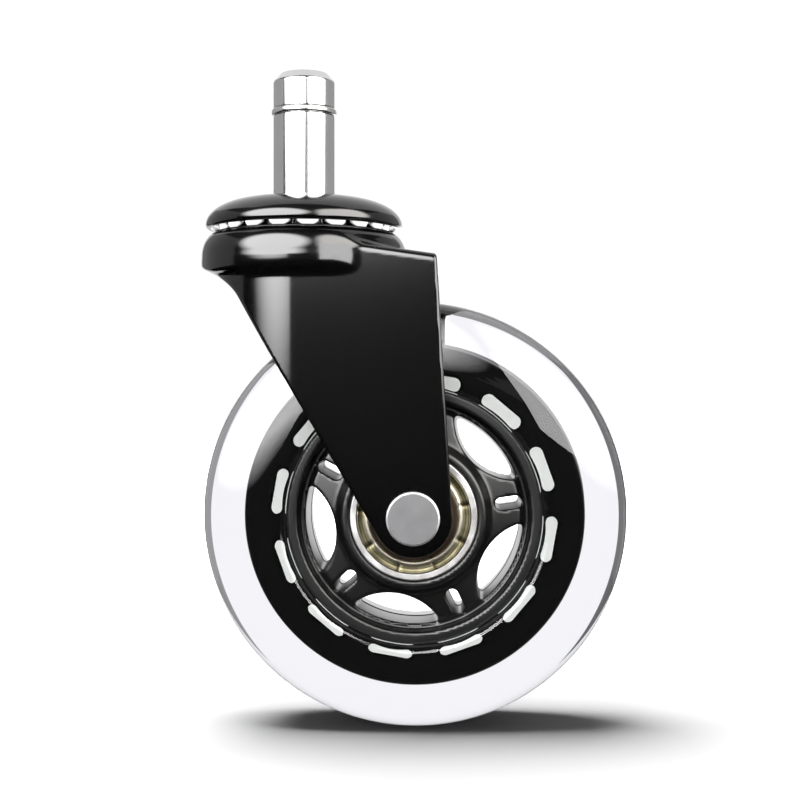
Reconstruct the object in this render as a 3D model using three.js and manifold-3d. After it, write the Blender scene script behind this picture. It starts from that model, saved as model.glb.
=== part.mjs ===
// A swivel chair caster with a grip-ring stem and a clear skate-style wheel.
// Millimetres, +Z up. The origin is on the swivel axis, in the plane where the chair's leg sits on the cap.
// The wheel trails towards +X and turns about an axis along Y. "left" is the -Y side, "right" the +Y side.
import * as THREE from "three";
import { mergeVertices } from "three/addons/utils/BufferGeometryUtils.js";
import Module from "manifold-3d";

const wasm = await Module();
wasm.setup();

// Driving dimensions
const STEM = { radius: 5.6, length: 22.7, chamfer: 1.35, neckRadius: 4.5, headRadius: 6.2, headHeight: 1.9 };
const GRIP = { z: 15.65, height: 1.2, grooveHeight: 1.4, grooveRadius: 4.85, inner: 4.95, outer: 5.9, gap: 2.2 };
const CAP = { radius: 17.67, flatRadius: 8.5, drop: 4.75, rim: 5.4, thickness: 2.0, bore: 4.6, seat: 5.75, seatDepth: 0.3 };
const UPPER = { count: 18, pitch: 13.2, ball: 2.2, z: -4.6, phase: -82, clearance: 0.15 };
const LOWER = { count: 12, pitch: 8.2, ball: 1.75, z: -12.2, phase: 0, clearance: 0.15 };
const CROWN = { seat: -7.9, recess: 16.3, radius: 18.45, rim: -6.2, bend: -7.6, wall: -10.6, skirt: -13.2, blend: -14.0 };
const PLATE = { thickness: 3.0, bore: 5.3 }; // the crown's flat middle
const RACE = { inner: 10.4, outer: 16.2, height: 1.8 };
const CUP = { top: -13.3, bottom: -15.6, outer: 10.9, chamfer: 0.6 };
const FORK = { halfWidth: 16, wall: 2.5, bossRadius: 6.7, topFront: -8.8, topBreak: 8, topBack: -11.1, back: 24 };
const AXLE = { x: 20, z: -56.1, radius: 4.0, headRadius: 4.7, headHeight: 1.2, chamfer: 0.5 };
const BEARING = { outer: 11.0, bore: 4.05, width: 7, face: 12, pitch: 7.5, ball: 1.9, balls: 7 };
const SHIELD = { seat: 2.75, inner: 6.35, outer: 9.8, thickness: 0.35 };
const HUB = { seat: 11.05, middle: 9.5, seatStop: 5, face: 12, ring: 9.8, flange: 4.2, flangeRadius: 29.4, ringOuter: 22.3 };
const TYRE = { radius: 37.5, halfWidth: 12, inner: 22.5, gap: 0.15, widest: 23.8, edge: 35, dome: 31, treadHalf: 4 };
const LENS = { count: 5, phase: 43.7, outer: 19.1, inner: 13.8, half: 7.4 };
const WINDOW = { count: 5, phase: 7.7, radius: 16.6, length: 4.8, width: 2.2 };
const ANCHOR = { count: 12, phase: 20, radius: 23.8, length: 8.3, width: 2.7 };
const FINE = 40; // steps round a large turned part
const MEDIUM = 32;
const SMALL = 24;
const NECK_END = CUP.bottom;
const TAU = Math.PI * 2;

const rad = (degrees) => (degrees * Math.PI) / 180;
const finish = (color, roughness, metalness) => new THREE.MeshStandardMaterial({ color, roughness, metalness });
const materials = {
  zinc: finish(0xd8dadc, 0.2, 1),
  spring: finish(0xc6c8ca, 0.3, 1),
  paint: finish(0x0b0b0c, 0.15, 0),
  race: finish(0x121212, 0.35, 1),
  ball: finish(0xe4e6e8, 0.08, 1),
  satin: finish(0xa5a6aa, 0.45, 1),
  shield: finish(0xc9b987, 0.3, 1),
  bearing: finish(0xcfd0d2, 0.2, 1),
  nylon: finish(0x0d0d0e, 0.3, 0),
  urethane: new THREE.MeshStandardMaterial({ color: 0xf4f4fa, roughness: 0.05, transparent: true, opacity: 0.35 }),
};

const group = new THREE.Group();

// Adds a named piece to the caster.
function place(name, geometry, material) {
  const mesh = new THREE.Mesh(geometry, material);
  mesh.name = name;
  group.add(mesh);
  return mesh;
}

// Points on an arc in a profile, from one angle to another in degrees.
function arc(centreR, centreH, radiusR, from, to, steps, radiusH = radiusR) {
  return Array.from({ length: steps + 1 }, (_, i) => {
    const a = rad(from + ((to - from) * i) / steps);
    return [centreR + radiusR * Math.cos(a), centreH + radiusH * Math.sin(a)];
  });
}

// Turns a profile of [radius, height] points about the Y axis. A profile off the axis closes on itself.
function turned(points, steps) {
  const solidCore = points[0][0] === 0;
  const loop = solidCore ? points : [...points, points[0]];
  const area = loop.reduce((sum, [r, h], i) => {
    const [nextR, nextH] = loop[(i + 1) % loop.length];
    return sum + r * nextH - nextR * h;
  }, 0);
  const ordered = area > 0 ? loop : [...loop].reverse();
  return new THREE.LatheGeometry(ordered.map(([r, h]) => new THREE.Vector2(r, h)), steps);
}

// The same, with the profile's height along +Z.
const turnedUpright = (points, steps) => turned(points, steps).rotateX(Math.PI / 2);

// A profile whose lower half mirrors its upper half, which runs outwards from the mid plane to the mid plane.
const mirrored = (upper) => [...upper, ...[...upper].reverse().map(([r, h]) => [r, -h])];

// Extrudes an outline drawn in X and Z along Y, centred on the mid plane.
function extrudedAcross(shape, width, curveSegments = 6) {
  const geometry = new THREE.ExtrudeGeometry(shape, { depth: width, bevelEnabled: false, curveSegments });
  return geometry.rotateX(Math.PI / 2).translate(0, width / 2, 0);
}

function solid(geometry) {
  const bare = geometry.clone();
  bare.deleteAttribute("normal");
  bare.deleteAttribute("uv");
  const merged = mergeVertices(bare, 1e-4);
  const corners = [];
  const index = merged.index.array;
  for (let i = 0; i < index.length; i += 3) {
    const [a, b, c] = [index[i], index[i + 1], index[i + 2]];
    if (a !== b && b !== c && a !== c) corners.push(a, b, c);
  }
  const vertProperties = merged.attributes.position.array;
  return new wasm.Manifold(new wasm.Mesh({ numProp: 3, vertProperties, triVerts: new Uint32Array(corners) }));
}

function geometryOf(manifold) {
  const { vertProperties, triVerts } = manifold.getMesh();
  const geometry = new THREE.BufferGeometry();
  geometry.setAttribute("position", new THREE.BufferAttribute(new Float32Array(vertProperties), 3));
  geometry.setIndex(new THREE.BufferAttribute(new Uint32Array(triVerts), 1));
  return geometry;
}

// A round-ended slot, centred on the origin, with its length along X.
function slotShape(length, width) {
  const shape = new THREE.Shape();
  const straight = (length - width) / 2;
  shape.absarc(straight, 0, width / 2, -Math.PI / 2, Math.PI / 2, false);
  shape.absarc(-straight, 0, width / 2, Math.PI / 2, (3 * Math.PI) / 2, false);
  return shape;
}

// Copies of a cutter, turned about the Y axis by equal steps. Angles run from +X towards +Z.
function ringOf(cutter, count, phase) {
  return Array.from({ length: count }, (_, i) => {
    const turn = -rad(phase + (i * 360) / count);
    return solid(cutter.clone().rotateY(turn));
  }).reduce((all, one) => all.add(one));
}

// Stem and grip ring

function stem() {
  const { radius, length, chamfer, neckRadius, headRadius, headHeight } = STEM;
  const groove = [GRIP.z + GRIP.grooveHeight / 2, GRIP.z - GRIP.grooveHeight / 2];
  return turnedUpright(
    [
      [0, length],
      [radius - chamfer, length],
      [radius, length - chamfer * 1.15],
      [radius, groove[0]],
      [GRIP.grooveRadius, groove[0]],
      [GRIP.grooveRadius, groove[1]],
      [radius, groove[1]],
      [radius, -CAP.seatDepth],
      [neckRadius, -CAP.seatDepth],
      [neckRadius, NECK_END],
      [headRadius, NECK_END],
      [headRadius, NECK_END - headHeight * 0.45],
      [headRadius * 0.72, NECK_END - headHeight],
      [0, NECK_END - headHeight],
    ],
    MEDIUM,
  );
}

// A split ring, open on the +Y side.
function gripRing() {
  const half = Math.asin(GRIP.gap / 2 / GRIP.outer);
  const [from, to] = [Math.PI / 2 + half, Math.PI / 2 - half + TAU];
  const shape = new THREE.Shape();
  shape.absarc(0, 0, GRIP.outer, from, to, false);
  shape.absarc(0, 0, GRIP.inner, to, from, true);
  const options = { depth: GRIP.height, bevelEnabled: false, curveSegments: MEDIUM };
  return new THREE.ExtrudeGeometry(shape, options).translate(0, 0, GRIP.z - GRIP.height / 2);
}

// Swivel: cap, races and balls

// Part of the groove that a ring of balls runs in, from one angle to another.
function groove(race, from, to, steps) {
  return arc(race.pitch, race.z, race.ball + race.clearance, from, to, steps);
}

// The stem's shoulder sits in a shallow counterbore round the cap's bore.
function topCap() {
  const { radius, flatRadius, drop, rim, thickness, bore, seat, seatDepth } = CAP;
  const dome = arc(flatRadius, -drop, radius - flatRadius, 90, 0, 5, drop);
  return turnedUpright(
    [
      [bore, -seatDepth],
      [seat, -seatDepth],
      [seat, 0],
      ...dome,
      [radius - 0.25, -rim + 0.2],
      [radius - 0.8, -rim],
      [radius - 1.7, -rim + 0.1],
      ...groove(UPPER, -8, 148, 5),
      [UPPER.pitch - UPPER.ball - 0.9, -thickness],
      [bore, -thickness],
    ],
    FINE,
  );
}

function crownRace() {
  const { inner, outer, height } = RACE;
  const top = CROWN.seat + height;
  return turnedUpright(
    [
      [inner, CROWN.seat],
      [inner, top],
      ...groove(UPPER, -141, -39, 5),
      [outer - 0.3, top],
      [outer, top - 0.3],
      [outer, CROWN.seat],
    ],
    FINE,
  );
}

function lowerRaceCup() {
  const { top, bottom, outer, chamfer } = CUP;
  return turnedUpright(
    [
      [CAP.bore, bottom],
      [CAP.bore, top],
      ...groove(LOWER, -143, -37, 4),
      [outer, top],
      [outer, bottom + chamfer],
      [outer - chamfer, bottom],
    ],
    MEDIUM,
  );
}

function ballSet(name, race) {
  for (let i = 0; i < race.count; i++) {
    const a = rad(race.phase + (i * 360) / race.count);
    const number = String(i + 1).padStart(2, "0");
    const ball = place(`${name}_${number}`, new THREE.IcosahedronGeometry(race.ball, 1), materials.ball);
    ball.position.set(race.pitch * Math.cos(a), race.pitch * Math.sin(a), race.z);
  }
}

// Fork

// The leg's front edge from the boss up to the skirt of the crown, added to a side outline.
function traceFrontEdge(shape) {
  const slope = rad(59.2);
  const [startX, startZ] = [AXLE.x - FORK.bossRadius * Math.sin(slope), AXLE.z - FORK.bossRadius * Math.cos(slope)];
  const bendZ = -18.1;
  const bendX = startX - (bendZ - startZ) / Math.tan(slope);
  shape.absarc(AXLE.x, AXLE.z, FORK.bossRadius, rad(4), -Math.PI / 2 - slope, true);
  shape.lineTo(bendX, bendZ);
  shape.quadraticCurveTo(-12.4, -15.0, -CROWN.radius, -12.4);
}

function sideOutline() {
  const shape = new THREE.Shape();
  shape.moveTo(-CROWN.radius - 2, FORK.topFront);
  shape.lineTo(FORK.topBreak, FORK.topFront);
  shape.lineTo(FORK.back, FORK.topBack);
  traceFrontEdge(shape);
  shape.lineTo(-CROWN.radius - 2, -11.2);
  return shape;
}

// Everything above the front edge, which also trims the crown's skirt.
function aboveFrontEdge() {
  const shape = new THREE.Shape();
  shape.moveTo(-CROWN.radius - 2, 5);
  shape.lineTo(60, 5);
  shape.lineTo(60, AXLE.z);
  traceFrontEdge(shape);
  shape.lineTo(-CROWN.radius - 2, -11.2);
  return shape;
}

// A horseshoe in plan: round at the front, open towards the wheel, and extruded upwards.
function horseshoe(radius, back, bottom, top) {
  const shape = new THREE.Shape();
  shape.moveTo(back, -radius);
  shape.lineTo(back, radius);
  shape.absarc(0, 0, radius, Math.PI / 2, (3 * Math.PI) / 2, false);
  const options = { depth: top - bottom, bevelEnabled: false, curveSegments: 16 };
  return new THREE.ExtrudeGeometry(shape, options).translate(0, 0, bottom);
}

// The upper race lies in a shallow recess, and the crown's shoulder curves down from the recess's rim.
function crown() {
  const { seat, recess, radius, rim, bend, wall, skirt, blend } = CROWN;
  const corners = [[recess, rim], [radius, bend], [radius, wall]].map(([r, z]) => new THREE.Vector2(r, z));
  const shoulder = new THREE.QuadraticBezierCurve(...corners).getPoints(5).map(({ x, y }) => [x, y]);
  return turnedUpright(
    [
      [PLATE.bore, seat],
      [recess, seat],
      ...shoulder,
      [radius, skirt],
      [FORK.halfWidth - 0.2, blend],
      [PLATE.bore, blend],
    ],
    FINE,
  );
}

// The space under the crown and between the legs.
function cavityOutline() {
  const ceiling = CROWN.seat - PLATE.thickness;
  const shape = new THREE.Shape();
  shape.moveTo(-30, ceiling);
  shape.lineTo(11, ceiling);
  shape.lineTo(13, ceiling - 1.1);
  shape.lineTo(40, ceiling - 4.3);
  shape.lineTo(40, -90);
  shape.lineTo(-30, -90);
  return shape;
}

function fork() {
  const width = 2 * FORK.halfWidth;
  const legs = solid(horseshoe(FORK.halfWidth, 40, -80, 0)).intersect(solid(extrudedAcross(sideOutline(), width + 4)));
  const trimmedCrown = solid(crown()).intersect(solid(extrudedAcross(aboveFrontEdge(), 60)));
  const inside = solid(horseshoe(FORK.halfWidth - FORK.wall, 50, -90, 0));
  const cavity = inside.intersect(solid(extrudedAcross(cavityOutline(), 60)));
  const underside = solid(turnedUpright([...groove(LOWER, 10, 170, 5), [LOWER.pitch, LOWER.z]], MEDIUM));
  const hole = AXLE.radius + 0.1;
  const axleHole = solid(turned([[0, 20], [hole, 20], [hole, -20], [0, -20]], SMALL).translate(AXLE.x, 0, AXLE.z));
  const stemHole = solid(turnedUpright([[0, 0], [PLATE.bore, 0], [PLATE.bore, -30], [0, -30]], MEDIUM));
  const cuts = cavity.add(underside).add(axleHole).add(stemHole);
  return geometryOf(legs.add(trimmedCrown).subtract(cuts));
}

// Axle, spacers and bearings

function axleRivet() {
  const { radius, headRadius, headHeight, chamfer } = AXLE;
  const outside = FORK.halfWidth + headHeight;
  return turned(
    [
      [0, outside],
      [headRadius - chamfer, outside],
      [headRadius, outside - chamfer],
      [headRadius, FORK.halfWidth],
      [radius, FORK.halfWidth],
      [radius, -FORK.halfWidth],
      [headRadius, -FORK.halfWidth],
      [headRadius, -outside + chamfer],
      [headRadius - chamfer, -outside],
      [0, -outside],
    ],
    SMALL,
  );
}

// A plain ring between two planes along Y.
function ring(inner, outer, from, to, steps) {
  return turned([[inner, from], [outer, from], [outer, to], [inner, to]], steps);
}

function bearingOuterRing() {
  const half = BEARING.width / 2;
  const seat = 9.9;
  const land = 9.25;
  const upper = [[9.6, 0.4], [land, 1.2], [land, 2.65], [seat, 2.65], [seat, half], [BEARING.outer, half]];
  return turned(mirrored(upper), SMALL);
}

function bearingInnerRing() {
  const half = BEARING.width / 2;
  const shoulder = 6.05;
  const upper = [[BEARING.bore, half], [shoulder, half], [shoulder, 1.3], [5.45, 0.4]];
  return turned(mirrored(upper), SMALL);
}

function shield() {
  return ring(SHIELD.inner, SHIELD.outer, 0, SHIELD.thickness, SMALL);
}

// Seven balls held by their riveted ribbon cage, joined into one body.
function ballsInCage() {
  const cage = solid(ring(6.95, 8.05, -0.75, 0.75, BEARING.balls * 2));
  const ball = new THREE.IcosahedronGeometry(BEARING.ball, 0).translate(BEARING.pitch, 0, 0);
  return geometryOf(cage.add(ringOf(ball, BEARING.balls, 0)));
}

// One bearing and what clamps it, on the side given by -1 for left and +1 for right.
function bearingSide(side, word) {
  const centre = side * (BEARING.face - BEARING.width / 2);
  const onAxle = (mesh, y) => mesh.position.set(AXLE.x, y, AXLE.z);
  onAxle(place(`bearing_outer_ring_${word}`, bearingOuterRing(), materials.bearing), centre);
  onAxle(place(`bearing_inner_ring_${word}`, bearingInnerRing(), materials.bearing), centre);
  onAxle(place(`bearing_balls_${word}`, ballsInCage(), materials.ball), centre);
  for (const [face, direction] of [["outside", side], ["inside", -side]]) {
    const mesh = place(`bearing_shield_${word}_${face}`, shield(), materials.shield);
    onAxle(mesh, centre + direction * SHIELD.seat);
    mesh.rotation.x = direction > 0 ? 0 : Math.PI;
  }
  const [near, far] = [side * BEARING.face, side * (FORK.halfWidth - FORK.wall)];
  const spacer = ring(BEARING.bore, 6.0, near, far, SMALL);
  onAxle(place(`axle_spacer_${word}`, spacer, materials.satin), 0);
}

// Wheel

function hubProfile() {
  const { seat, middle, seatStop, face, ring, flange, flangeRadius, ringOuter } = HUB;
  return mirrored([
    [middle, seatStop],
    [seat, seatStop],
    [seat, face - 0.4],
    [seat + 0.35, face],
    [12.2, face],
    [13.5, face - 2.5],
    [19.0, face - 3.5],
    [19.2, face - 4.5],
    [20.0, face - 4.5],
    [20.2, ring],
    [ringOuter, ring],
    [ringOuter, flange],
    [flangeRadius - 1.2, flange],
    [flangeRadius, flange - 1.2],
  ]);
}

// The large cut-out: its outer side follows the rim and its inner side bulges towards the bearing.
function lensShape() {
  const { outer, inner, half } = LENS;
  const spread = Math.asin(half / outer);
  const corner = outer * Math.cos(spread);
  const rise = corner - inner;
  const radius = (half * half + rise * rise) / (2 * rise);
  const sweep = Math.asin(half / radius);
  const shape = new THREE.Shape();
  shape.absarc(0, 0, outer, -spread, spread, false);
  shape.absarc(inner + radius, 0, radius, Math.PI - sweep, Math.PI + sweep, false);
  return shape;
}

function hub() {
  const depth = 30;
  const lens = extrudedAcross(lensShape(), depth, 4);
  const window = extrudedAcross(slotShape(WINDOW.length, WINDOW.width), depth, 2).translate(WINDOW.radius, 0, 0);
  const anchor = anchorCutter(ANCHOR.length, ANCHOR.width, depth);
  const body = solid(turned(hubProfile(), FINE));
  return geometryOf(
    body
      .subtract(ringOf(lens, LENS.count, LENS.phase))
      .subtract(ringOf(window, WINDOW.count, WINDOW.phase))
      .subtract(ringOf(anchor, ANCHOR.count, ANCHOR.phase)),
  );
}

// A slot along the rim, at the radius of the anchor slots.
function anchorCutter(length, width, depth) {
  return extrudedAcross(slotShape(length, width), depth, 2).rotateY(Math.PI / 2).translate(ANCHOR.radius, 0, 0);
}

// The cast tyre: gently domed sides and a rounded tread, joined by plugs through the hub's anchor slots.
function tyre() {
  const { radius, halfWidth, inner, gap, widest, edge, dome, treadHalf } = TYRE;
  const lean = (Math.asin((edge - widest) / dome) * 180) / Math.PI;
  const side = arc(widest, halfWidth - dome, dome, 90, 90 - lean, 3);
  const [, edgeHalf] = side[side.length - 1];
  const corners = [[edge, edgeHalf], [radius, edgeHalf * 0.9], [radius, treadHalf]].map(([r, h]) => new THREE.Vector2(r, h));
  const tread = new THREE.QuadraticBezierCurve(...corners).getPoints(5).slice(1).map(({ x, y }) => [x, y]);
  const section = mirrored([
    [HUB.flangeRadius + gap, HUB.flange - 1.2 + gap * 0.4],
    [HUB.flangeRadius - 1.2 + gap * 0.4, HUB.flange + gap],
    [inner, HUB.flange + gap],
    [inner, HUB.ring - 0.1],
    [(inner + widest) / 2, halfWidth - 0.5],
    ...side,
    ...tread,
  ]);
  const plug = anchorCutter(ANCHOR.length - 2 * gap, ANCHOR.width - 2 * gap, 2 * HUB.flange + 2);
  return geometryOf(solid(turned(section, FINE)).add(ringOf(plug, ANCHOR.count, ANCHOR.phase)));
}

place("stem", stem(), materials.zinc);
place("grip_ring", gripRing(), materials.spring);
place("top_cap", topCap(), materials.paint);
place("lower_race_cup", lowerRaceCup(), materials.race);
place("fork", fork(), materials.paint);
place("crown_race", crownRace(), materials.race);
ballSet("upper_ball", UPPER);
ballSet("lower_ball", LOWER);
place("axle_rivet", axleRivet(), materials.satin).position.set(AXLE.x, 0, AXLE.z);
bearingSide(-1, "left");
bearingSide(1, "right");
const sleeveEnd = BEARING.face - BEARING.width;
const sleeve = place("bearing_sleeve", ring(BEARING.bore, 5.6, -sleeveEnd, sleeveEnd, SMALL), materials.satin);
sleeve.position.set(AXLE.x, 0, AXLE.z);
place("wheel_hub", hub(), materials.nylon).position.set(AXLE.x, 0, AXLE.z);
place("tyre", tyre(), materials.urethane).position.set(AXLE.x, 0, AXLE.z);

export default group;
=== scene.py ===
"""Looks for a swivel chair caster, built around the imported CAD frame.

Shapes are worked out in millimetres in the part's own frame (origin on the swivel axis at the cap's top,
+X towards the trailing wheel, +Z up) and turned into metres when a mesh is made.
"""
import math

import bpy
import numpy as np
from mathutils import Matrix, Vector


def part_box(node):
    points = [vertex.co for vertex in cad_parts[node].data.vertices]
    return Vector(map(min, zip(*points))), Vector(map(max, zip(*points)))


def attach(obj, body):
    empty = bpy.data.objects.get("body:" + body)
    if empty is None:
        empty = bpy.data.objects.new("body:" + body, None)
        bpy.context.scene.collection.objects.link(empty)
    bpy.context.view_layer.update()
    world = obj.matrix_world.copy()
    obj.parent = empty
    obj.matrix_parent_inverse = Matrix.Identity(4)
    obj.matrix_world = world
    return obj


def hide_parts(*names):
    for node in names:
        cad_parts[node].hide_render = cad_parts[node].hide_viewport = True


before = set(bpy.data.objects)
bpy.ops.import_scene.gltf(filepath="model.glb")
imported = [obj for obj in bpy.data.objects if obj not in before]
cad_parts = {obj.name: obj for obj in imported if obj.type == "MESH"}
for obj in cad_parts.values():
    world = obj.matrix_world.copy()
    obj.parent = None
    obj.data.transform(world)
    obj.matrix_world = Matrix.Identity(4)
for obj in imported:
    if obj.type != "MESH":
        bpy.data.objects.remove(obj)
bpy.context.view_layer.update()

MM = 0.001
TAU = 2 * math.pi
TURN_STEPS = 160  # faces round a large turned piece
SMALL_TURN_STEPS = 96
NET_STEP = 0.4  # cell size of a carved shape's surface net


def node_box(node):
    """A CAD node's lowest and highest corners in millimetres."""
    low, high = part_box(node)
    return np.array(low) / MM, np.array(high) / MM


# ---------------------------------------------------------------- sizes, from the frame where it holds them

stem_low, stem_high = node_box("stem")
grip_low, grip_high = node_box("grip_ring")
cap_low, cap_high = node_box("top_cap")
race_low, race_high = node_box("crown_race")
cup_low, cup_high = node_box("lower_race_cup")
fork_low, fork_high = node_box("fork")
axle_low, axle_high = node_box("axle_rivet")
hub_low, hub_high = node_box("wheel_hub")
tyre_low, tyre_high = node_box("tyre")
outer_ring_low, outer_ring_high = node_box("bearing_outer_ring_right")

AXLE_X = (axle_low[0] + axle_high[0]) / 2
AXLE_Z = (axle_low[2] + axle_high[2]) / 2
AXLE_HEAD = (axle_high[0] - axle_low[0]) / 2
AXLE_END = axle_high[1]
AXLE_SHANK = 4.0
STEM_R = 5.6
NECK_R = 4.5
CAP_SEAT_R, CAP_SEAT_DEPTH = 5.75, 0.3  # the counterbore that the stem's shoulder sits in
CROWN_R = fork_high[1]
CROWN_TOP = fork_high[2]
CROWN_RECESS = 16.3  # the shallow recess in the crown that holds the upper race
CROWN_SEAT = race_low[2]
LEG_OUT = 16.0  # outside faces of the legs, and the radius of the closed front
LEG_WALL = 2.5
BOSS_R = AXLE_Z - fork_low[2]
FLOOR_Z = tyre_low[2]
TYRE_R = (tyre_high[0] - tyre_low[0]) / 2
TYRE_HALF = tyre_high[1]
BEARING_R = (outer_ring_high[0] - outer_ring_low[0]) / 2
BEARING_OUT = outer_ring_high[1]
BEARING_IN = outer_ring_low[1]
BEARING_MID = (BEARING_OUT + BEARING_IN) / 2
UPPER_PITCH, UPPER_BALL, UPPER_COUNT, UPPER_PHASE = 13.2, 2.2, 18, -82
LOWER_PITCH, LOWER_BALL, LOWER_COUNT = 8.2, 1.75, 12
UPPER_Z = sum(b[2] for b in node_box("upper_ball_01")) / 2
LOWER_Z = sum(b[2] for b in node_box("lower_ball_01")) / 2
BALL_GAP = 0.12  # between the swivel's balls and their grooves
NECK_HOLE = 5.3  # the fork's hole round the stem's neck
BORE_R = 4.05  # the bore of everything that sits on the axle
RING_INSIDE, RING_OUTSIDE = 6.05, 9.9  # the two rings' lands, either side of the shields
SHIELD_SEAT_R, SHIELD_SEAT = 9.25, 2.65  # the outer ring's step that a shield sits on
CAGE_BALLS, CAGE_PITCH, CAGE_BALL = 7, 7.5, 1.95
CAGE_GROOVE = 2.08  # radius of the grooves that the bearings' balls run in
BEAD_R = 8.1  # the raised bead that runs round a shield
CRIMP_PHASE, CRIMP_STEP = 13.0, 40.0  # where the shields are crimped into their rings, in degrees
GLOW_Z, GLOW_HALF = -5.2, 0.95  # the middle and half height of the painted glow on each upper ball


# ---------------------------------------------------------------- profiles and meshes


def rounded(corners, steps=5):
    """A closed outline from (a, b) or (a, b, fillet) corners, with each fillet drawn as an arc."""
    points = []
    count = len(corners)
    for i, corner in enumerate(corners):
        here = np.array(corner[:2], float)
        fillet = corner[2] if len(corner) > 2 else 0
        to_last = np.array(corners[i - 1][:2], float) - here
        to_next = np.array(corners[(i + 1) % count][:2], float) - here
        long_last, long_next = np.linalg.norm(to_last), np.linalg.norm(to_next)
        if fillet == 0 or long_last == 0 or long_next == 0:
            points.append(here)
            continue
        to_last, to_next = to_last / long_last, to_next / long_next
        half = math.acos(float(np.clip(to_last @ to_next, -1, 1))) / 2
        reach = min(fillet / math.tan(half), 0.49 * min(long_last, long_next))
        radius = reach * math.tan(half)
        centre = here + (to_last + to_next) / np.linalg.norm(to_last + to_next) * radius / math.sin(half)
        start, end = here + to_last * reach - centre, here + to_next * reach - centre
        sweep = math.atan2(start[0] * end[1] - start[1] * end[0], start @ end)
        for k in range(steps + 1):
            a = sweep * k / steps
            cos_a, sin_a = math.cos(a), math.sin(a)
            turned = (start[0] * cos_a - start[1] * sin_a, start[0] * sin_a + start[1] * cos_a)
            points.append(centre + turned)
    return [tuple(p) for p in points]


def arc(centre_a, centre_b, radius_a, radius_b, start, end, steps):
    """Points on an ellipse's arc, angles in degrees."""
    angles = [math.radians(start + (end - start) * k / steps) for k in range(steps + 1)]
    return [(centre_a + radius_a * math.cos(a), centre_b + radius_b * math.sin(a)) for a in angles]


def bezier(start, control, end, steps):
    """Points on a quadratic curve in a plane."""
    shares = np.linspace(0, 1, steps + 1)[:, None]
    start, control, end = (np.array(p, float) for p in (start, control, end))
    curve = (1 - shares) ** 2 * start + 2 * shares * (1 - shares) * control + shares**2 * end
    return [tuple(p) for p in curve]


def new_piece(name, points, faces, normals=None):
    """A smooth mesh object from points in millimetres, with its faces turned outwards."""
    points = np.asarray(points, float)
    corners = np.array([[f[0], f[k], f[k + 1]] for f in faces for k in range(1, len(f) - 1)])
    a, b, c = points[corners[:, 0]], points[corners[:, 1]], points[corners[:, 2]]
    if np.einsum("ij,ij->i", a, np.cross(b, c)).sum() < 0:
        faces = [tuple(reversed(f)) for f in faces]
    mesh = bpy.data.meshes.new(name)
    mesh.from_pydata((points * MM).tolist(), [], [tuple(int(i) for i in f) for f in faces])
    mesh.polygons.foreach_set("use_smooth", [True] * len(mesh.polygons))
    if normals is not None:
        mesh.normals_split_custom_set_from_vertices(np.asarray(normals, float).tolist())
    mesh.validate()
    mesh.update()
    piece = bpy.data.objects.new(name, mesh)
    bpy.context.scene.collection.objects.link(piece)
    return piece


def profile_normals(outline):
    """Outward normals at an outline's points, each side weighted by its length."""
    points = np.array(outline)
    ahead = np.roll(points, -1, 0) - points
    behind = points - np.roll(points, 1, 0)
    area = np.sum(points[:, 0] * np.roll(points[:, 1], -1) - np.roll(points[:, 0], -1) * points[:, 1])
    sign = 1 if area > 0 else -1
    total = ahead + behind
    normals = sign * np.stack([total[:, 1], -total[:, 0]], 1)
    return normals / np.maximum(np.linalg.norm(normals, axis=1, keepdims=True), 1e-9)


def turned_mesh(outline, axis, steps, start=0.0, sweep=TAU):
    """Points, faces and normals of a (radius, height) outline turned about Z or about the axle."""
    closed = abs(sweep - TAU) < 1e-6
    rows = steps if closed else steps + 1
    side_normals = profile_normals(outline)
    points, normals, faces = [], [], []
    for i in range(rows):
        a = start + sweep * i / steps
        cos_a, sin_a = math.cos(a), math.sin(a)
        for (r, h), (nr, nh) in zip(outline, side_normals):
            if axis == "Z":
                points.append((r * cos_a, r * sin_a, h))
                normals.append((nr * cos_a, nr * sin_a, nh))
            else:
                points.append((AXLE_X + r * cos_a, h, AXLE_Z + r * sin_a))
                normals.append((nr * cos_a, nh, nr * sin_a))
    width = len(outline)
    for i in range(steps):
        for j in range(width):
            k = (j + 1) % width
            on_axis = outline[j][0] < 1e-6 and outline[k][0] < 1e-6
            if not on_axis:
                p, q = i * width, ((i + 1) % rows) * width
                faces.append((p + j, p + k, q + k, q + j))
    if not closed:
        faces.append(tuple(reversed(range(width))))
        faces.append(tuple(range(steps * width, (steps + 1) * width)))
    return np.array(points), faces, np.array(normals)


def welded(points, faces, normals):
    """The same mesh with points that coincide joined, as on the axis of a turned piece."""
    keys = np.round(points, 6)
    _, first, where = np.unique(keys, axis=0, return_index=True, return_inverse=True)
    where = where.reshape(-1)
    cleaned = []
    for face in faces:
        ring = [int(where[i]) for i in face]
        ring = [v for k, v in enumerate(ring) if v != ring[k - 1]]
        if len(ring) > 2:
            cleaned.append(tuple(ring))
    summed = np.zeros((len(first), 3))
    np.add.at(summed, where, normals)
    summed /= np.maximum(np.linalg.norm(summed, axis=1, keepdims=True), 1e-9)
    return points[first], cleaned, summed


def turned_piece(name, outline, axis="Z", steps=TURN_STEPS, start=0.0, sweep=TAU):
    points, faces, normals = welded(*turned_mesh(outline, axis, steps, start, sweep))
    closed = abs(sweep - TAU) < 1e-6
    return new_piece(name, points, faces, normals if closed else None)


def joined(parts):
    """Several (points, faces, normals) as one."""
    points, faces, normals, offset = [], [], [], 0
    for p, f, n in parts:
        points.append(p)
        normals.append(n)
        faces.extend(tuple(i + offset for i in face) for face in f)
        offset += len(p)
    return np.concatenate(points), faces, np.concatenate(normals)


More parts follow.
